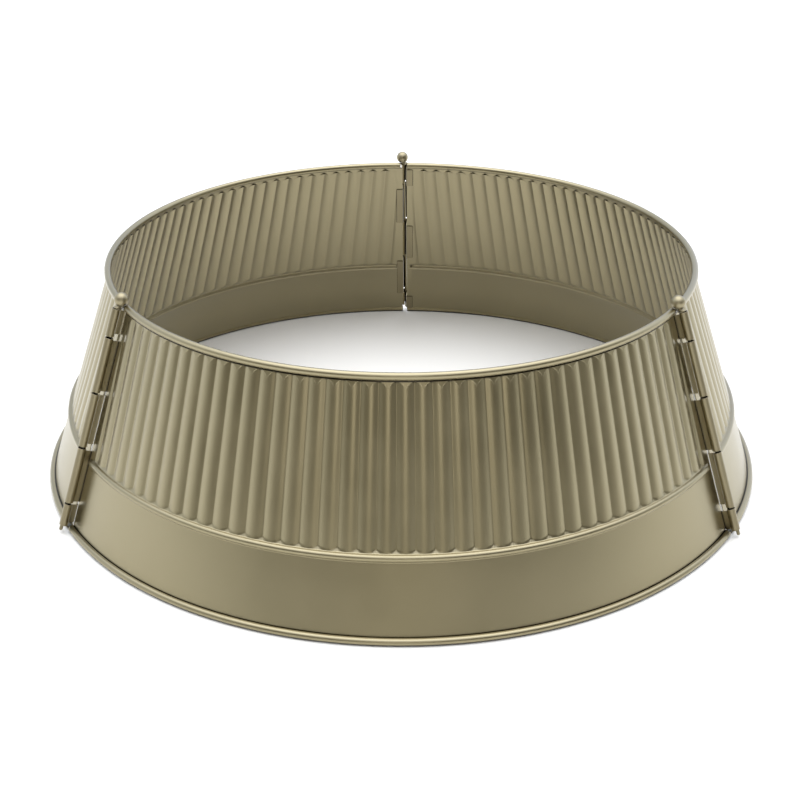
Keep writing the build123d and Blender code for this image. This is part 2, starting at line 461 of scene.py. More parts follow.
    def face_rows(self) -> tuple[np.ndarray, np.ndarray, np.ndarray, np.ndarray]:
        """The outer and inner lines of the wall's section between the rims, paired point by point.

        Returns:
            Radius and height of the outer line, the same of the inner line, how far each point lies along
            the wall from the bead's middle where it belongs to the bead, or else not a number, and the share
            of the arched heads' drop by which each point goes down with them.
        """
        collar, near_rim = self.collar, self.row_inset
        lean = collar.wall_angle
        offset = collar.sheet / 2 - collar.rim_outset
        bead_foot = 2 * self.bead_height - self.ground
        low = self.meeting(collar.bottom_rim[1], 1, offset)
        band = np.array([low + near_rim, (low + bead_foot) / 2, bead_foot - near_rim])
        climb = np.linspace(0, 1, self.foot_steps + 1)[1:] ** self.foot_crowding
        foot = self.ground + (self.foot_step + self.foot_ease) * climb
        support = self.head_fade + np.array(self.support_insets)
        reach = np.concatenate([np.linspace(self.head_reach, support[0], self.reach_steps), support[1:]])
        fade = self.head_fade * (1 + np.cos(np.linspace(0, pi, self.head_steps))) / 2
        head = self.flute_top - np.concatenate([reach, fade, [-self.ledge_inset, -near_rim]])
        middle = np.linspace(foot[-1], head[0], self.wall_steps + 1)[1:-1]
        upper = np.concatenate([foot, middle, head])
        sinking = (self.head_reach - reach) / (self.head_reach - self.head_fade)
        follow = np.concatenate([np.zeros(foot.size + middle.size), sinking, np.ones(fade.size + 2)])
        lines = []
        for inside in (0.0, collar.sheet):
            lowest = self.meeting(collar.bottom_rim[1], 1, offset - inside)
            highest = self.meeting(collar.top_rim[1], -1, offset - inside)
            ends = np.insert(band, 0, lowest), np.concatenate([upper, [highest - near_rim, highest]])
            below, above = [np.stack([collar.wall(z) - inside, z], axis=-1) for z in ends]
            across, along = self.bead_line(inside).T
            swell = [across * cos(lean) - along * sin(lean), across * sin(lean) + along * cos(lean)]
            bead = np.array([collar.wall(self.bead_height), self.bead_height]) + np.stack(swell, axis=-1)
            lines.append(np.concatenate([below, bead, above]))
        place = np.concatenate([np.full(len(below), np.nan), along, np.full(len(above), np.nan)])
        share = np.concatenate([np.zeros(len(below) + len(along)), follow, [0.0, 0.0]])
        return lines[0], lines[1], place, share

    def meeting(self, centre_z: float, way: int, offset: float) -> float:
        """Height at which a line along the wall crosses the circle of a rim.

        Args:
            centre_z: Height of the rim's middle.
            way: 1 where the wall lies above the rim, -1 where it lies below.
            offset: Outward distance of the line from the rim's middle.

        Returns:
            The height of the crossing on the wall's side.
        """
        taper, radius = self.collar.taper, self.collar.rim_radius
        root = sqrt(radius**2 * (1 + taper**2) - offset**2)
        return centre_z + way * (way * taper * offset + root) / (1 + taper**2)

    def rim_rows(self, centre: tuple[float, float], inner: np.ndarray, outer: np.ndarray) -> np.ndarray:
        """Section points of a rolled rim, from the wall's inner line round to the lip against its outer line.

        The lip's edge stands off the wall's outer line by a narrow gap with parallel sides.

        Args:
            centre: Radius and height of the rim's middle.
            inner: Point where the inner line meets the rim.
            outer: Point where the outer line meets the rim.

        Returns:
            Points as radius and height: the roll, then the two points at the bottom of the gap.
        """
        collar = self.collar
        middle, radius = np.array(centre), collar.rim_radius
        turn = 1 if outer[1] > middle[1] else -1
        gap = self.lip_gap / cos(collar.wall_angle)
        offset = -collar.rim_outset + collar.sheet / 2 + gap
        edge_z = self.meeting(centre[1], turn, offset)
        edge = np.array([collar.wall(edge_z) + gap, edge_z])
        start = atan2(*(inner - middle)[::-1])
        sweep = (turn * (atan2(*(edge - middle)[::-1]) - start)) % (2 * pi)
        roll = arc(middle, radius, start + turn * np.linspace(0, sweep, self.rim_steps))
        deep = outer[1] - turn * self.lip_depth
        bottom = np.array([[collar.wall(deep) + gap, deep], [collar.wall(deep), deep]])
        return np.concatenate([roll, bottom])

    def bead_end_share(self, along: np.ndarray, distance: np.ndarray) -> np.ndarray:
        """How much of the bead's swell is left near a hinge, eased to nothing behind a rounded nose.

        Args:
            along: Distance along the wall from the bead's middle.
            distance: Distance from the middle plane of the nearer hinge.

        Returns:
            Shares from 0 to 1.
        """
        share = along / (self.bead_radius * self.nose_reach)
        nose = self.bead_end + self.bead_nose * (1 - np.sqrt(np.clip(1 - share**2, 0, 1)))
        return np.sqrt(smoothstep((distance - nose) / self.bead_fade))

    def section(self) -> Section:
        """Join the wall's two lines and the rims into one loop, cut flat where it rests on the floor.

        Returns:
            The panel's section.
        """
        outer, inner, place, share = self.face_rows()
        top = self.rim_rows(self.collar.top_rim, inner[-1], outer[-1])[::-1]
        bottom = self.rim_rows(self.collar.bottom_rim, inner[0], outer[0])
        loop = np.concatenate([outer, top[:-1], inner[::-1], bottom[1:]])
        loop[:, 1] = np.maximum(loop[:, 1], 0.0)
        off_top, off_bottom = len(top) - 1, len(bottom) - 1
        along = np.concatenate([place, np.full(off_top, np.nan), place[::-1], np.full(off_bottom, np.nan)])
        follow = np.concatenate([share, np.zeros(off_top), share[::-1], np.zeros(off_bottom)])
        return Section(loop, along, follow, len(outer), len(outer) + off_top)

    def grid(self, section: Section) -> np.ndarray:
        """Carry the section round the ring on the grid's upright lines and press the flutes into its wall.

        Args:
            section: The panel's section.

        Returns:
            Points in rows along the section and columns across the panel.
        """
        angles, near, margin = self.columns()
        collar, on_wall, level = self.collar, section.on_wall, section.points[:, 1:]
        z = level - section.share[:, None] * self.head_drop(near)
        plain = collar.wall(z) - collar.sheet * section.on_inside
        base = section.points[:, :1] + (collar.wall(z) - collar.wall(level))
        setback = np.full((len(level), angles.size), self.edge_offset)
        setback[section.wall_points : section.inner_start] = np.where(angles < 0, *self.ball_room)
        edge = collar.panel_step / 2 - np.degrees(np.arcsin(setback / base))
        rise = np.clip((z - self.flute_foot) / (self.flute_top - self.flute_foot), 0, 1)
        spread = angles * (1 + self.fan * rise * on_wall)
        turn = np.radians(spread + margin * (np.sign(angles) * edge - spread))
        distance = base * np.sin(np.radians(collar.panel_step / 2) - np.abs(turn))
        swell = self.bead_end_share(np.nan_to_num(section.along)[:, None], distance)
        r = np.where(np.isnan(section.along)[:, None], base, plain + swell * (base - plain))
        r = r - on_wall * self.inset(near[None, :], z, distance)
        r, z = self.round_rim_ends(r, z, distance - setback, on_wall)
        turn = turn + radians(self.angle)
        return np.stack([r * np.cos(turn), r * np.sin(turn), z], axis=-1)

    def close_end(
        self, section: Section, points: np.ndarray, ends: list[int], low_end: bool, first: int
    ) -> tuple[list[np.ndarray], list[tuple[int, ...]]]:
        """Close one end of the panel by a strip between the wall's two lines and a short bore in each rim.

        Args:
            section: The panel's section.
            points: Points of the grid, one row each.
            ends: Index of each point at this end, in the section's order.
            low_end: Whether this is the clockwise end.
            first: Index of the next new point.

        Returns:
            The bores' points and all the new faces.
        """
        flip = -1 if low_end else 1
        wall, last = section.wall_points, section.last_inner
        faces = [(ends[i], ends[i + 1], ends[last - i - 1], ends[last - i])[::flip] for i in range(wall - 1)]
        bores = []
        inwards = self.inward_at(low_end)
        top_room = self.ball_room[0 if low_end else 1]
        rims = (
            (self.collar.top_rim, ends[wall - 1 : section.inner_start + 1], top_room),
            (self.collar.bottom_rim, ends[last:] + ends[:1], self.edge_offset),
        )
        for centre, ring, room in rims:
            middle = self.on_edge(centre, low_end, room)
            away = points[ring] - middle
            away -= (away @ inwards)[:, None] * inwards
            bore = middle + away / np.linalg.norm(away, axis=1)[:, None] * self.bore_radius
            bores += [bore, bore + inwards * self.bore_depth]
            size = len(ring)
            for i in range(size):
                j = (i + 1) % size
                faces.append((ring[i], ring[j], first + j, first + i)[::-flip])
                faces.append((first + i, first + j, first + size + j, first + size + i)[::-flip])
            faces.append(tuple(range(first + size, first + 2 * size))[::-flip])
            first += 2 * size
        return bores, faces

    def build(self, finish: "Paint") -> None:
        """Make the panel's mesh, closed at both ends, and put it in place of its solid.

        Args:
            finish: Its paint.
        """
        section = self.section()
        points = self.grid(section)
        rows, columns = points.shape[:2]
        shells = [points.reshape(-1, 3)]
        faces = as_faces(grid_faces(rows, columns, wrap_rows=True, wrap_columns=False))
        for column in (0, columns - 1):
            ends = list(range(column, rows * columns, columns))
            first = sum(len(shell) for shell in shells)
            bores, end_faces = self.close_end(section, shells[0], ends, column == 0, first)
            shells += bores
            faces += end_faces
        piece = make_piece(f"{self.name}_fluted_sheet", np.concatenate(shells), faces)
        hand_over(piece, self.name, "panel_paint", finish.material(), f"{self.name}_panel")

    def inward_at(self, low_end: bool) -> np.ndarray:
        """The direction into the panel, square to the plane of one of its ends."""
        end = radians(self.angle + self.collar.panel_step / 2 * (-1 if low_end else 1))
        return np.array([-sin(end), cos(end), 0.0]) * (1 if low_end else -1)

    def on_edge(self, centre: tuple[float, float], low_end: bool, setback: float) -> np.ndarray:
        """The middle of a rim at its end.

        Args:
            centre: Radius and height of the rim's middle.
            low_end: Whether this is the panel's clockwise end.
            setback: Distance of the end's plane from the hinge's middle plane.

        Returns:
            The point.
        """
        end = radians(self.angle + self.collar.panel_step / 2 * (-1 if low_end else 1))
        along = sqrt(centre[0] ** 2 - setback**2)
        return np.array([cos(end) * along, sin(end) * along, centre[1]]) + self.inward_at(low_end) * setback

    def round_rim_ends(
        self, r: np.ndarray, z: np.ndarray, depth: np.ndarray, on_wall: np.ndarray
    ) -> tuple[np.ndarray, np.ndarray]:
        """Draw the rims in towards their middles at their very ends, by a quarter circle.

        Args:
            r: Radii of the grid's points.
            z: Heights of the grid's points.
            depth: Distance of each point from the panel's end.
            on_wall: Whether each row belongs to the wall and stays as it is, as a column.

        Returns:
            The new radii and heights.
        """
        reach = np.clip(1 - depth / self.rim_end_round, 0.0, 1.0)
        draw = self.rim_end_round / self.collar.rim_radius * (1 - np.sqrt(1 - reach**2)) * ~on_wall
        upper = z > self.bead_height
        middle_r = np.where(upper, self.collar.top_rim[0], self.collar.bottom_rim[0])
        middle_z = np.where(upper, self.collar.top_rim[1], self.collar.bottom_rim[1])
        return r + draw * (middle_r - r), z + draw * (middle_z - z)


def lathe(
    origin: np.ndarray, axis: np.ndarray, profile: np.ndarray, steps: int
) -> tuple[np.ndarray, list[tuple[int, ...]]]:
    """A turned shape: a profile of radius and height carried round an axis, with a point at each pole.

    Args:
        origin: Point of the axis at height zero.
        axis: Unit vector along the axis, which leans a little from upright.
        profile: Radius and height of each ring, from one pole to the other, the poles themselves left out.
        steps: Points in each ring.

    Returns:
        The points and the faces.
    """
    across = np.cross(axis, [1.0, 0.0, 0.0])
    across /= np.linalg.norm(across)
    third = np.cross(axis, across)
    turn = np.linspace(0, 2 * pi, steps, endpoint=False)
    circle = np.cos(turn)[:, None] * across + np.sin(turn)[:, None] * third
    rings = origin + profile[:, 1, None, None] * axis + profile[:, 0, None, None] * circle[None]
    rows = len(profile)
    poles = origin + np.array([profile[0, 1], profile[-1, 1]])[:, None] * axis
    points = np.concatenate([rings.reshape(-1, 3), poles])
    faces = as_faces(grid_faces(rows, steps, wrap_rows=False, wrap_columns=True))
    following = (np.arange(steps) + 1) % steps
    last = (rows - 1) * steps
    faces += [(int(b), int(a), rows * steps) for a, b in zip(range(steps), following)]
    faces += [(last + int(a), last + int(b), rows * steps + 1) for a, b in zip(range(steps), following)]
    return points, faces


@dataclass
class Hinge:
    """One hinge: a row of bent knuckles, a loose pin and its ball top."""

    name: str
    angle: float
    lean_shares: tuple[float, float]
    clockwise_body: str
    other_body: str
    pin_body: str
    open_side: Side | None
    collar: Collar
    # The row of knuckles: its ends, the shares of its height at which it is split, and the gap at a split.
    below_top: float = 3.5
    above_floor: float = 7.5
    split_shares: tuple[float, ...] = (0.0, 0.125, 0.378, 0.63, 0.895, 1.0)
    gap: float = 2.0
    # The bent plate: a strap inside the wall, a tab out between the panels and a roll round the pin. The
    # strap and the tab stop short of the roll's two ends by the setback.
    plate: float = 0.8
    bore: float = 6.2
    strap_reach: float = 9.0
    strap_gap: float = 0.2
    bend_radius: float = 1.0
    tab_offset: float = 1.6
    tab_setback: float = 1.5
    knee_radius: float = 1.2
    edge_bevel: float = 0.12
    # The loose pin, which leans from the middle of its row and reaches up into the ball top.
    pin_radius: float = 1.6
    pin_lean: float = 1.4
    pin_foot: float = 2.0
    pin_in_ball: float = 2.0
    # The ball top: the neck's outline is radius against height above its seat, and the ball sinks into it.
    seat_gap: float = 0.2
    neck_outline: tuple[tuple[float, float], ...] = (
        (2.52, 0.0),
        (3.384, 0.05),
        (3.6, 0.2),
        (3.6, 0.7),
        (3.384, 0.85),
        (2.8, 1.05),
        (2.5, 1.4),
    )
    neck_height: float = 3.4
    neck_stiff: float = 1.0
    ball_radius: float = 6.3
    ball_sink: float = 1.0
    ball_offset: float = 1.0
    # Steps in the turned and bent shapes, and the angle of one step of the roll.
    turned_steps: int = 48
    corner_steps: int = 7
    knee_steps: int = 6
    shank_steps: int = 13
    ball_steps: int = 30
    roll_step: float = 9.0
    directions: tuple[np.ndarray, np.ndarray, np.ndarray] = field(init=False)

    def __post_init__(self) -> None:
        """Work out the outward, counter-clockwise and upward directions of the hinge."""
        a, lean = radians(self.angle), self.collar.wall_angle
        outward = np.array([cos(lean) * cos(a), cos(lean) * sin(a), sin(lean)])
        upward = np.array([-sin(lean) * cos(a), -sin(lean) * sin(a), cos(lean)])
        self.directions = (outward, np.cross(upward, outward), upward)

    @property
    def low(self) -> float:
        """Slant height of the lowest knuckle's foot."""
        return self.above_floor / cos(self.collar.wall_angle)

    @property
    def high(self) -> float:
        """Slant height of the highest knuckle's top."""
        return (self.collar.height - self.below_top) / cos(self.collar.wall_angle)

    def axis_point(self, rise: float) -> np.ndarray:
        """A point of the hinge axis.

        Args:
            rise: Its slant height above the floor.

        Returns:
            The point.
        """
        z = rise * cos(self.collar.wall_angle)
        radius, a = self.collar.pin_circle(z), radians(self.angle)
        return np.array([radius * cos(a), radius * sin(a), z])

    def strap_line(self, curl: Curl) -> tuple[np.ndarray, np.ndarray]:
        """The middle line of a knuckle's plate, square to the hinge axis, for the counter-clockwise side.

        It runs along the wall's inner face to a bend, out through the gap between the panels as a tab, over a
        knee whose arc is tangent to the tab and to the roll, and round the pin as a circle.

        Args:
            curl: How far the plate is rolled.

        Returns:
            The points, as outward and counter-clockwise distances, and how far each belongs to the roll.
        """
        collar = self.collar
        roll = self.bore / 2 + self.plate / 2
        tab = self.tab_offset + self.plate / 2
        stand_off = collar.rim_radius + collar.pin_outset + collar.rim_outset - collar.sheet / 2
        depth = (stand_off + collar.sheet) * cos(collar.wall_angle) + self.strap_gap + self.plate / 2
        strap = np.array([[-depth, self.strap_reach], [-depth, (self.strap_reach + tab) / 2]])
        corner = np.linspace(pi, 3 * pi / 2, self.corner_steps)
        inside = np.array([self.bend_radius - depth, self.bend_radius + tab])
        bend = arc(inside, self.bend_radius, corner)
        aside = tab + self.knee_radius
        knee = np.array([-sqrt((roll + self.knee_radius) ** 2 - aside**2), aside])
        touch = atan2(knee[1], knee[0])
        over = arc(knee, self.knee_radius, np.linspace(-pi / 2, touch - pi, self.knee_steps))
        steps = int((degrees(touch) - curl.value) / self.roll_step)
        around = arc(0.0, roll, np.linspace(touch, radians(curl.value), steps)[1:])
        line = np.concatenate([strap, bend, over, around])
        flat, rolled = np.zeros(len(strap) + len(bend)), np.ones(len(around))
        return line, np.concatenate([flat, np.linspace(0, 1, len(over)), rolled])

    def knuckle(self, index: int, finish: "Paint") -> None:
        """Make one knuckle as a bent plate: a bevelled rectangle carried along the plate's middle line.

        The rectangle has eight points, two at each of its corners, and its foot is where the mask is 1.

        Args:
            index: Place in the row, from 1 at the top.
            finish: Its paint.
        """
        side = Side.CLOCKWISE if index % 2 else Side.COUNTER_CLOCKWISE
        curl = Curl.HOOK if side is self.open_side else Curl.CLOSED
        upper, lower = self.split_shares[index - 1 : index + 1]
        span = self.high - self.low
        top = self.high - span * upper - (self.gap / 2 if upper > 0 else 0)
        foot = self.high - span * lower + (self.gap / 2 if lower < 1 else 0)
        line, share = self.strap_line(curl)
        heading = np.gradient(line, axis=0)
        heading /= np.linalg.norm(heading, axis=1)[:, None]
        square = np.stack([-heading[:, 1], heading[:, 0]], axis=-1)
        setback = self.tab_setback * (1 - smoothstep(share))
        half, bevel = self.plate / 2, self.edge_bevel
        across = np.array([half, half, half - bevel, bevel - half, -half, -half, bevel - half, half - bevel])
        at_foot = np.array([1, 0, 0, 0, 0, 1, 1, 1])
        inner = np.array([bevel, -bevel, 0, 0, -bevel, bevel, 0, 0])
        plane = line[:, None, :] + square[:, None, :] * across[None, :, None]
        rise = np.where(at_foot, foot + setback[:, None], top - setback[:, None]) + inner
        outward, sideways, upward = self.directions
        base = self.axis_point(0.0)
        points = (
            base
            + plane[..., 0, None] * outward
            + plane[..., 1, None] * side.value * sideways
            + rise[..., None] * upward
        )
        rows, columns = points.shape[:2]
        faces = as_faces(grid_faces(rows, columns, wrap_rows=False, wrap_columns=True))
        faces += [tuple(range(columns))[::-1], tuple(range((rows - 1) * columns, rows * columns))]
        piece = make_piece(f"{self.name}_strap_{index}", points.reshape(-1, 3), faces)
        body = self.clockwise_body if side is Side.CLOCKWISE else self.other_body
        hand_over(piece, body, "hinge_paint", finish.material(), f"{self.name}_knuckle_{index}")

    def pin_axis(self) -> tuple[np.ndarray, np.ndarray]:
        """The line that the loose pin leans along.

        Returns:
            The middle of the row of knuckles and the unit vector along the pin.
        """
        outward, sideways, upward = self.directions
        half = (self.high - self.low) / 2
        out_share, side_share = self.lean_shares
        axis = upward * half + outward * self.pin_lean * out_share + sideways * self.pin_lean * side_share
        return self.axis_point((self.high + self.low) / 2), axis / np.linalg.norm(axis)

    def pin(self, pin_finish: "Paint", ball_finish: "Paint") -> None:
        """Make the pin with its rounded tip, and the ball top with its collar and waist, as turned shapes.

        The tip is a quarter circle. The ball top's profile is the neck's outline, radius against height above
        its seat, and then the ball as a circle. Above its collar it is moved aside, the way the pin leans.

        Args:
            pin_finish: Paint of the pin.
            ball_finish: Paint of the ball top.
        """
        origin, axis = self.pin_axis()
        half = (self.high - self.low) / 2
        foot = self.pin_foot / cos(self.collar.wall_angle) - (self.high + self.low) / 2
        seat = half + self.seat_gap
        quarter = np.linspace(-pi / 2, 0, self.corner_steps)[1:]
        tip = arc(np.array([0.0, foot + self.pin_radius]), self.pin_radius, quarter)
        levels = np.linspace(foot + 2 * self.pin_radius, seat + self.pin_in_ball, self.shank_steps)
        shank = np.stack([np.full(self.shank_steps, self.pin_radius), levels], axis=-1)
        points, faces = lathe(origin, axis, np.concatenate([tip, shank]), self.turned_steps // 2)
        piece = make_piece(f"{self.name}_pin_shank", points, faces)
        hand_over(piece, self.pin_body, "pin_paint", pin_finish.material(), f"{self.name}_pin")
        centre = seat + self.neck_height + self.ball_radius - self.ball_sink
        meet = acos(self.neck_outline[-1][0] / self.ball_radius)
        ball = np.linspace(-meet, pi / 2, self.ball_steps)[:-1]
        sphere = arc(np.array([0.0, centre]), self.ball_radius, ball)
        neck = np.array(self.neck_outline) + [0.0, seat]
        points, faces = lathe(origin, axis, np.concatenate([neck, sphere]), self.turned_steps)
        outward, sideways, _ = self.directions
        aside = outward * self.lean_shares[0] + sideways * self.lean_shares[1]
        above = (points - origin) @ axis - seat - self.neck_stiff
        share = smoothstep(above / (self.neck_height - self.neck_stiff))[:, None]
        points = points + share * aside * self.ball_offset
        piece = make_piece(f"{self.name}_ball_top", points, faces)
        hand_over(piece, self.pin_body, "ball_paint", ball_finish.material(), f"{self.name}_ball")

    def build(self, strap_finish: "Paint", pin_finish: "Paint", ball_finish: "Paint") -> None:
        """Make the whole hinge.

        Args:
            strap_finish: Paint of the knuckles.
            pin_finish: Paint of the pin.
            ball_finish: Paint of the ball top.
        """
        for index in range(1, len(self.split_shares)):
            self.knuckle(index, strap_finish)
        self.pin(pin_finish, ball_finish)


def linear_colour(hex_code: str) -> tuple[float, float, float, float]:
    """A linear colour from an sRGB hex value.

    Args:
        hex_code: Six hex digits.

    Returns:
        Red, green, blue and an alpha of 1.
    """
    channels = [int(hex_code[i : i + 2], 16) / 255 for i in (0, 2, 4)]
    red, green, blue = [c / 12.92 if c <= 0.04045 else ((c + 0.055) / 1.055) ** 2.4 for c in channels]
    return red, green, blue, 1.0


def add_node(
    tree: bpy.types.NodeTree, kind: str, inputs: dict | None = None, **settings: object
) -> bpy.types.Node:
    """Add a shader node with its settings, values and links.

    Args:
        tree: Node tree.
        kind: Node type.
        inputs: Values or output sockets for the node's inputs, by name or index.
        settings: Properties of the node.

    Returns:
        The node.
    """
    node = tree.nodes.new(kind)
    for name, value in settings.items():
        setattr(node, name, value)
    for key, value in (inputs or {}).items():
        if isinstance(value, bpy.types.NodeSocket):
            tree.links.new(value, node.inputs[key])
        else:
            node.inputs[key].default_value = value
    return node


def per_metre(size_mm: float) -> float:
    """Scale of a pattern on Object coordinates whose features are this many millimetres across."""
    return 1.0 / (size_mm * METRES_PER_MM)


@dataclass(frozen=True)
class Paint:
    """Champagne metallic stoving paint, sprayed and baked on sheet steel.

    To the eye the flakes give a soft tinted mirror and a faint sparkle, and the clear top a weak untinted
    one. The baked film is slightly uneven, like orange peel. Shade is painted into the colour: it darkens in
    seams and crevices that little light reaches, and in level lines under a rolled edge, for its shadow.
    """

    name: str
    light_hex: str = "9c9274"
    deep_hex: str = "938a6c"
    metallic: float = 1.0
    # Painted shade: where ambient occlusion closes in, in seams and crevices, the colour darkens towards this
    # one.
    seam_shade_hex: str = "2a2417"
    seam_shade_mm: float = 3.5
    seam_shade_openness: tuple[float, float] = (0.5, 0.84)
    seam_shade_samples: int = 16
    # Painted shade: dark level lines on the outer face, which stand for the shadow under the rolled top rim.
    shade_line_hex: str = "272116"
    shade_line_mm: tuple[float, ...] = ()
    shade_line_width_mm: float = 1.25
    shade_line_edge: tuple[float, float] = (0.35, 0.65)
    roughness: float = 0.33
    roughness_swing: float = 0.05
    coat: float = 0.45
    coat_roughness: float = 0.22
    # Real flakes are about 0.05 mm across. They are drawn 1.1 mm across, or the render would lose them.
    flake_mm: float = 1.1
    flake_depth_mm: float = 0.004
    # The waves of a baked film are a few millimetres long, and its clouds are the passes of the spray gun.
    peel_mm: float = 7.0
    peel_depth_mm: float = 0.03
    cloud_mm: float = 60.0
    cloud_range: tuple[float, float] = (0.3, 0.7)

    def material(self) -> bpy.types.Material:
        """The paint as a material, made once and then reused.

        Returns:
            The material.
        """
        found = bpy.data.materials.get(self.name)
        if found:
            return found
        material = bpy.data.materials.new(self.name)
        material.use_nodes = True
        tree = material.node_tree
        tree.nodes.clear()
        place = add_node(tree, "ShaderNodeTexCoord").outputs["Object"]
        clouds, flakes, peel = (
            add_node(
                tree, "ShaderNodeTexNoise", {"Vector": place, "Scale": per_metre(size), "Detail": detail}
            ).outputs["Fac"]
            for size, detail in ((self.cloud_mm, 2.0), (self.flake_mm, 1.0), (self.peel_mm, 1.5))
        )
        colour = add_node(
            tree,
            "ShaderNodeMix",
            {"Factor": clouds, 6: linear_colour(self.deep_hex), 7: linear_colour(self.light_hex)},
            data_type="RGBA",
        )
        # Painted shade in seams and crevices: the colour is mixed towards the dark shade colour where
        # occlusion is high.
        openness = add_node(
            tree,
            "ShaderNodeAmbientOcclusion",
            {"Distance": self.seam_shade_mm * METRES_PER_MM},
            samples=self.seam_shade_samples,
        )
        closed, free = self.seam_shade_openness
        unshaded = add_node(
            tree,
            "ShaderNodeMapRange",
            {"Value": openness.outputs["AO"], "From Min": closed, "From Max": free},
            interpolation_type="SMOOTHSTEP",
        )
        painted_seam_shade = add_node(
            tree,
            "ShaderNodeMix",
            {"Factor": unshaded.outputs["Result"], 6: linear_colour(self.seam_shade_hex), 7: colour.outputs[2]},
            data_type="RGBA",
        )
        # Painted shade lines under the rolled top rim go over the painted seam shade.
        tinted = self.draw_shade_lines(tree, place, painted_seam_shade.outputs[2])
        thin, thick = self.cloud_range
        gloss = add_node(
            tree,
            "ShaderNodeMapRange",
            {
                "Value": clouds,
                "From Min": thin,
                "From Max": thick,
                "To Min": self.roughness - self.roughness_swing / 2,
                "To Max": self.roughness + self.roughness_swing / 2,
            },
        )
        wavy = add_node(
            tree,
            "ShaderNodeBump",
            {"Height": peel, "Strength": 1.0, "Distance": self.peel_depth_mm * METRES_PER_MM},
        )
        sparkle = add_node(
            tree,
            "ShaderNodeBump",
            {
                "Height": flakes,
                "Strength": 1.0,
                "Distance": self.flake_depth_mm * METRES_PER_MM,
                "Normal": wavy.outputs["Normal"],
            },
        )
        shader = add_node(
            tree,
            "ShaderNodeBsdfPrincipled",
            {
                "Base Color": tinted,
                "Metallic": self.metallic,
                "Roughness": gloss.outputs["Result"],
                "Normal": sparkle.outputs["Normal"],
                "Coat Weight": self.coat,
                "Coat Roughness": self.coat_roughness,
            },
        )
        add_node(tree, "ShaderNodeOutputMaterial", {"Surface": shader.outputs["BSDF"]})
        return material

    def draw_shade_lines(
        self, tree: bpy.types.NodeTree, place: bpy.types.NodeSocket, colour: bpy.types.NodeSocket
    ) -> bpy.types.NodeSocket:
        """Draw level painted shade lines on the outer face, which is where the normal points away from the
        origin.

        Args:
            tree: Node tree of the paint.
            place: Object coordinates.
            colour: Colour of the paint without its painted shade lines.

        Returns:
            The colour with its painted shade lines: dark within half a line's width of each height, and then
            quickly back.
        """
        height = add_node(tree, "ShaderNodeSeparateXYZ", {0: place}).outputs["Z"]
        normal = add_node(tree, "ShaderNodeTexCoord").outputs["Normal"]
        facing = add_node(tree, "ShaderNodeVectorMath", {0: place, 1: normal}, operation="DOT_PRODUCT")
        inner = add_node(tree, "ShaderNodeMath", {0: facing.outputs["Value"], 1: 0.0}, operation="LESS_THAN")
        dark, clear_of_it = (share * self.shade_line_width_mm * METRES_PER_MM for share in self.shade_line_edge)
        for level in self.shade_line_mm:
            away = add_node(
                tree, "ShaderNodeMath", {0: height, 1: level * METRES_PER_MM}, operation="SUBTRACT"
            )
            apart = add_node(tree, "ShaderNodeMath", {0: away.outputs["Value"]}, operation="ABSOLUTE")
            clear = add_node(
                tree,
                "ShaderNodeMapRange",
                {"Value": apart.outputs["Value"], "From Min": dark, "From Max": clear_of_it},
                interpolation_type="SMOOTHSTEP",
            )
            plain = add_node(
                tree,
                "ShaderNodeMath",
                {0: clear.outputs["Result"], 1: inner.outputs["Value"]},
                operation="MAXIMUM",
            )
            shade_lined = add_node(
                tree,
                "ShaderNodeMix",
                {"Factor": plain.outputs["Value"], 6: linear_colour(self.shade_line_hex), 7: colour},
                data_type="RGBA",
            )
            colour = shade_lined.outputs[2]
        return colour


@dataclass(frozen=True)
class DrawnWire:
    """Bare steel wire, drawn through a die: to the eye a dull grey metal, streaked by the drawing."""

    name: str = "drawn_steel_wire"
    bright_hex: str = "b8b8b4"
    dull_hex: str = "8e8d88"
    # Real streaks are finer than 0.1 mm. They are drawn 1.5 mm across, or the render would lose them.
    streak_mm: float = 1.5
    roughness: float = 0.38

    def material(self) -> bpy.types.Material:
        """The wire's finish as a material.

        Returns:
            The material.
        """
        material = bpy.data.materials.new(self.name)
        material.use_nodes = True
        tree = material.node_tree
        tree.nodes.clear()
        place = add_node(tree, "ShaderNodeTexCoord").outputs["Object"]
        streaks = add_node(
            tree, "ShaderNodeTexNoise", {"Vector": place, "Scale": per_metre(self.streak_mm), "Detail": 3.0}
        ).outputs["Fac"]
        colour = add_node(
            tree,
            "ShaderNodeMix",
            {"Factor": streaks, 6: linear_colour(self.dull_hex), 7: linear_colour(self.bright_hex)},
            data_type="RGBA",
        )
        shader = add_node(
            tree,
            "ShaderNodeBsdfPrincipled",
            {"Base Color": colour.outputs[2], "Metallic": 1.0, "Roughness": self.roughness},
        )
        add_node(tree, "ShaderNodeOutputMaterial", {"Surface": shader.outputs["BSDF"]})
        return material


@dataclass(frozen=True)
class SoftBox:
    """A soft studio light: a glowing square that faces the object."""

    name: str
    azimuth: float
    elevation: float
    side: float
    watts: float
    distance: float = 3.0
    hex_code: str = "ffffff"

    def build(self) -> None:
        """Place the light on its direction from the object and turn it to face it."""
        data = bpy.data.lights.new(self.name, "AREA")
        data.shape = "SQUARE"
        data.size = self.side
        data.energy = self.watts
        data.color = linear_colour(self.hex_code)[:3]
        light = bpy.data.objects.new(self.name, data)
        bpy.context.scene.collection.objects.link(light)
        a, e = radians(self.azimuth), radians(self.elevation)
        away = np.array([cos(e) * cos(a), cos(e) * sin(a), sin(e)]) * self.distance
        turn = Matrix.Rotation(a + pi / 2, 4, "Z") @ Matrix.Rotation(pi / 2 - e, 4, "X")
        light.matrix_world = Matrix.Translation(away.tolist()) @ turn


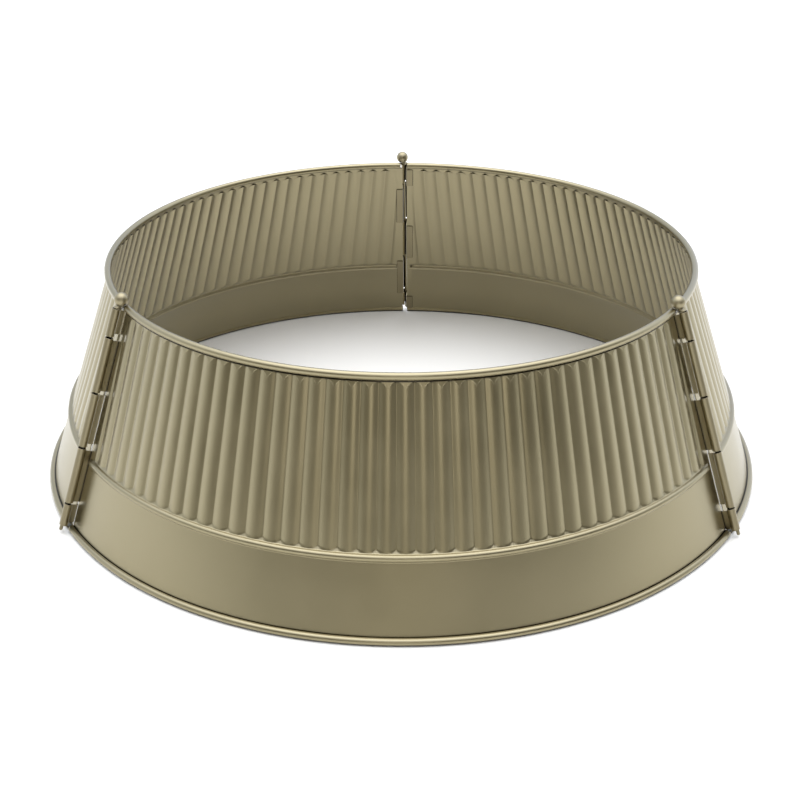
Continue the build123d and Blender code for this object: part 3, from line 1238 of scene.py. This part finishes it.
@dataclass(frozen=True)
class Studio:
    """The floor, the soft surroundings, the lights and the camera, none of which is part of the object."""

    floor_size: float = 240.0
    floor_hex: str = "f2f0e8"
    camera_place: tuple[float, float, float] = (0.0170, -1.3014, 0.6950)
    camera_pitch: float = 63.591
    camera_yaw: float = 0.804
    lens: float = 65.0
    sensor: float = 36.0
    overhead: tuple[float, float, float] = (2.3, 2.37, 2.62)
    overhead_from: float = 0.46
    overhead_to: float = 0.95
    # Azimuth in degrees, then the light's red, green and blue. White lies behind the object and on both
    # sides, and the dark studio round the camera, on azimuth -90, is what the front panel mirrors.
    surround_stops: tuple[tuple[float, float, float, float], ...] = (
        (-180.0, 1.02, 1.07, 1.14),
        (-158.0, 0.66, 0.67, 0.65),
        (-140.0, 0.3, 0.29, 0.245),
        (-122.0, 0.14, 0.124, 0.082),
        (-86.0, 0.16, 0.142, 0.093),
        (-50.0, 0.08, 0.068, 0.043),
        (-30.0, 0.12, 0.11, 0.08),
        (-14.0, 0.3, 0.29, 0.25),
        (5.0, 0.62, 0.64, 0.63),
        (22.0, 1.45, 1.56, 1.75),
        (58.0, 1.0, 1.1, 1.38),
        (94.0, 0.8, 0.87, 1.0),
        (130.0, 0.8, 0.87, 0.98),
        (166.0, 1.02, 1.1, 1.26),
        (180.0, 1.02, 1.07, 1.14),
    )

    def floor(self) -> None:
        """A plain pale floor, wide enough to fill the view."""
        half = self.floor_size / 2
        mesh = bpy.data.meshes.new("studio_floor")
        corners = [(-half, -half, 0), (half, -half, 0), (half, half, 0), (-half, half, 0)]
        mesh.from_pydata(corners, [], [(0, 1, 2, 3)])
        material = bpy.data.materials.new("studio_floor_paper")
        material.use_nodes = True
        shader = material.node_tree.nodes["Principled BSDF"]
        shader.inputs["Base Color"].default_value = linear_colour(self.floor_hex)
        shader.inputs["Roughness"].default_value = 0.9
        shader.inputs["Specular IOR Level"].default_value = 0.2
        mesh.materials.append(material)
        floor = bpy.data.objects.new("studio_floor", mesh)
        bpy.context.scene.collection.objects.link(floor)

    def surroundings(self) -> None:
        """White surroundings behind and beside the object, darker towards the front, and a bright ceiling."""
        world = bpy.data.worlds.new("studio_surroundings")
        world.use_nodes = True
        bpy.context.scene.world = world
        tree = world.node_tree
        tree.nodes.clear()
        heading = add_node(tree, "ShaderNodeTexCoord").outputs["Generated"]
        parts = add_node(tree, "ShaderNodeSeparateXYZ", {0: heading})
        azimuth = add_node(
            tree, "ShaderNodeMath", {0: parts.outputs["Y"], 1: parts.outputs["X"]}, operation="ARCTAN2"
        )
        around = add_node(
            tree, "ShaderNodeMapRange", {"Value": azimuth.outputs["Value"], "From Min": -pi, "From Max": pi}
        )
        ramp = add_node(tree, "ShaderNodeValToRGB", {"Fac": around.outputs["Result"]})
        stops = ramp.color_ramp.elements
        while len(stops) < len(self.surround_stops):
            stops.new(0.5)
        for stop, (place, *colour) in zip(stops, self.surround_stops):
            stop.position = (place + 180) / 360
            stop.color = (*colour, 1.0)
        lift = add_node(
            tree,
            "ShaderNodeMapRange",
            {"Value": parts.outputs["Z"], "From Min": self.overhead_from, "From Max": self.overhead_to},
            interpolation_type="SMOOTHSTEP",
        )
        sky = add_node(
            tree,
            "ShaderNodeMix",
            {"Factor": lift.outputs["Result"], 6: ramp.outputs["Color"], 7: (*self.overhead, 1.0)},
            data_type="RGBA",
        )
        glow = add_node(tree, "ShaderNodeBackground", {"Color": sky.outputs[2], "Strength": 1.0})
        add_node(tree, "ShaderNodeOutputWorld", {"Surface": glow.outputs["Background"]})

    def camera(self) -> None:
        """The camera at the photograph's viewing angle."""
        data = bpy.data.cameras.new("photo_camera")
        data.lens = self.lens
        data.sensor_width = self.sensor
        camera = bpy.data.objects.new("photo_camera", data)
        camera.location = self.camera_place
        camera.rotation_euler = (radians(self.camera_pitch), 0.0, radians(self.camera_yaw))
        bpy.context.scene.collection.objects.link(camera)
        bpy.context.scene.camera = camera

    def build(self) -> None:
        """Set up the whole studio."""
        bpy.context.scene.view_settings.view_transform = "Standard"
        self.floor()
        self.surroundings()
        self.camera()
        for light in (
            SoftBox("overhead_softbox", azimuth=BACK, elevation=80.0, side=3.0, watts=30.0),
            SoftBox("camera_softbox", azimuth=-89.0, elevation=19.0, side=0.8, watts=3.4, hex_code="fffaf2"),
        ):
            light.build()


def main() -> None:
    """Build the collar piece by piece, then the studio."""
    logging.basicConfig(level=logging.INFO, format="%(name)s: %(message)s")
    Studio().build()
    collar = Collar.from_frame()
    # The panels carry a painted shade line under the top rim, for its shadow.
    panel_paint = Paint("champagne_metallic_stoving_paint", shade_line_mm=(collar.shade_line_height,))
    # Darker than the panels as painted shade, for straps that mirror the dark front and sit in shadow;
    # also a little duller.
    shaded_strap_paint = Paint("champagne_paint_on_straps_with_painted_shade", light_hex="8f8568", deep_hex="83795e", roughness=0.36)
    # Worn by sliding in the knuckles, so the darkest and dullest of all.
    pin_paint = Paint("champagne_paint_on_pins", light_hex="857c60", deep_hex="776e54", roughness=0.38)
    # Turned balls take a thick, even film with little clear on top, so they shine softly.
    ball_paint = Paint(
        "champagne_paint_on_balls", light_hex="9f967a", deep_hex="93896d", roughness=0.44, coat=0.2
    )
    step = collar.panel_step
    for name, angle, ball_room in (
        ("front", FRONT, (5.0, 5.0)),
        ("right", FRONT + step, (5.0, 2.5)),
        ("left", FRONT - step, (4.5, 5.0)),
    ):
        FlutedPanel(name, angle, collar, ball_room=ball_room).build(panel_paint)
    inwards, sideways = (-1.0, 0.0), (0.0, 1.0)
    for hinge in (
        Hinge("left_hinge", FRONT - step / 2, inwards, "left", "front", "left_pin", None, collar),
        Hinge("right_hinge", FRONT + step / 2, inwards, "front", "right", "right_pin", None, collar),
        Hinge("back_hinge", BACK, sideways, "right", "left", "back_pin", Side.COUNTER_CLOCKWISE, collar),
    ):
        hinge.build(shaded_strap_paint, pin_paint, ball_paint)
    wire = DrawnWire().material()
    for node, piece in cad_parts.items():
        if node.endswith("_wire"):
            piece.data.materials.clear()
            piece.data.materials.append(wire)
            log.info("%s keeps its solid", node)


if __name__ == "__main__":
    main()
